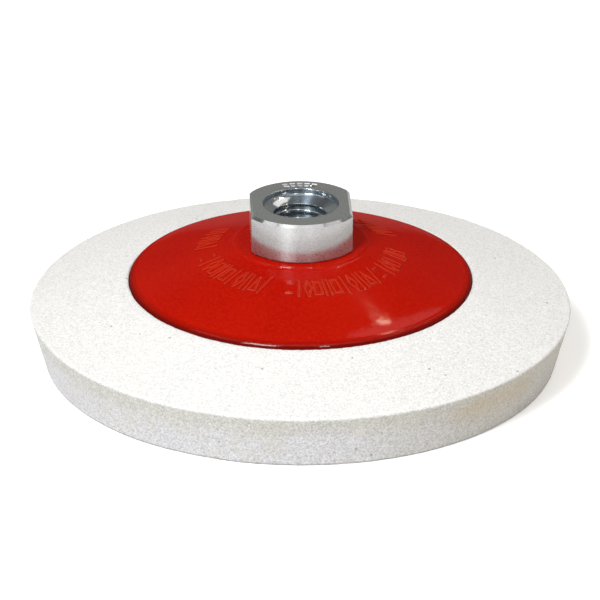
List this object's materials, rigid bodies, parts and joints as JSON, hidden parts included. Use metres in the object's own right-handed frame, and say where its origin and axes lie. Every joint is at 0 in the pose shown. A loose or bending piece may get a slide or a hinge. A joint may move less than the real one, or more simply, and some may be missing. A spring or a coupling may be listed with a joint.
{
  "type": "felt polishing wheel",
  "caption": "Dished ring of pressed wool felt on a painted steel cup, clamped by a riveted hub with a spindle thread and two spanner flats.",
  "frame": {"origin": "centre of the ring of felt that the wheel rests on, at the bottom centre of the bounding box", "axes": "+Z along the spin axis, from the working face up to the threaded hub; the two spanner flats face -X and +X"},
  "size_m": [0.125, 0.125, 0.0373],
  "materials": {
    "wool_felt": "dense pressed wool felt, matt, with short loose fibres",
    "red_enamel": "gloss enamel on pressed steel",
    "zinc_plate": "turned steel with bright blue zinc plate",
    "bare_steel": "turned tube, lightly oiled",
    "pressed_steel": "pressed sheet steel, zinc plated, satin",
    "zinc_washer": "stamped washer, zinc plated"
  },
  "bodies": {
    "root": {"felt_disc": "wool_felt", "backing_cup": "red_enamel", "threaded_hub": "zinc_plate", "spacer_sleeve": "bare_steel", "clamp_plate": "pressed_steel", "rivet_washer": "zinc_washer"}
  },
  "joints": []
}
